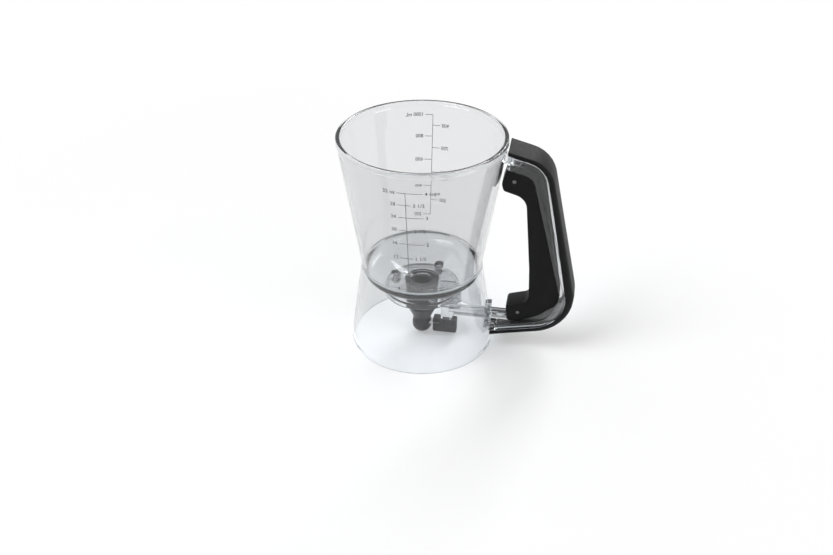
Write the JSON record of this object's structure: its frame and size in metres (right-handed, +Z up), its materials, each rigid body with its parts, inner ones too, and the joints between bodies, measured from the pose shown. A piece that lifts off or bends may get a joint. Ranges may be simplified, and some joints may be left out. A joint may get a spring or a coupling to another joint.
{
  "type": "batter dispenser",
  "caption": "Hand-held batter dispenser: clear measuring cup on a flared clear base, black trigger handle that draws a gate blade from a silicone nozzle under the cup.",
  "frame": {"origin": "centre of the foot ring, on the surface the dispenser stands on", "axes": "+Z up along the cup's axis, +X towards the handle, +Y across the handle"},
  "size_m": [0.1869, 0.129, 0.18],
  "materials": {
    "clear_plastic": "polished clear plastic",
    "clear_link": "clear plastic, moulded",
    "gasket_silicone": "grey silicone",
    "nozzle_silicone": "dark grey satin silicone",
    "soft_grip": "black soft-touch overmould",
    "trigger_black": "fine matte moulded plastic",
    "arm_grey": "dark grey moulded plastic",
    "steel": "stainless steel",
    "nylon": "natural nylon"
  },
  "bodies": {
    "vessel": {"cup": "clear_plastic", "waist_gasket": "gasket_silicone", "base_skirt": "clear_plastic", "nozzle": "nozzle_silicone", "valve_plate": "clear_plastic", "plate_screws": "steel", "handle_frame": "clear_plastic", "frame_screws": "steel", "grip": "soft_grip", "link_bush": "clear_link", "pivot_pin": "steel", "pivot_washers": "nylon", "return_spring": "steel"},
    "trigger": {"trigger": "trigger_black", "link_pin": "steel", "link_washers": "nylon"},
    "gate": {"pull_link": "clear_link", "gate_arm": "arm_grey", "arm_pin": "steel", "gate_blade": "steel"}
  },
  "joints": [
    {"name": "trigger_squeeze", "type": "hinge", "parent": "vessel", "child": "trigger", "pos_m": [0.0704, 0, 0.1509], "axis": [0, -1, 0], "range_deg": [0, 3], "stiffness_Nm_per_rad": 5, "springref_deg": -3.44, "deforming": ["return_spring"]},
    {"name": "gate_slide", "type": "slide", "parent": "vessel", "child": "gate", "axis": [1, 0, 0], "range_m": [0, 0.00612]}
  ],
  "couplings": [
    {"joint": "gate_slide", "follows": "trigger_squeeze", "m_per_rad": 0.1169}
  ]
}
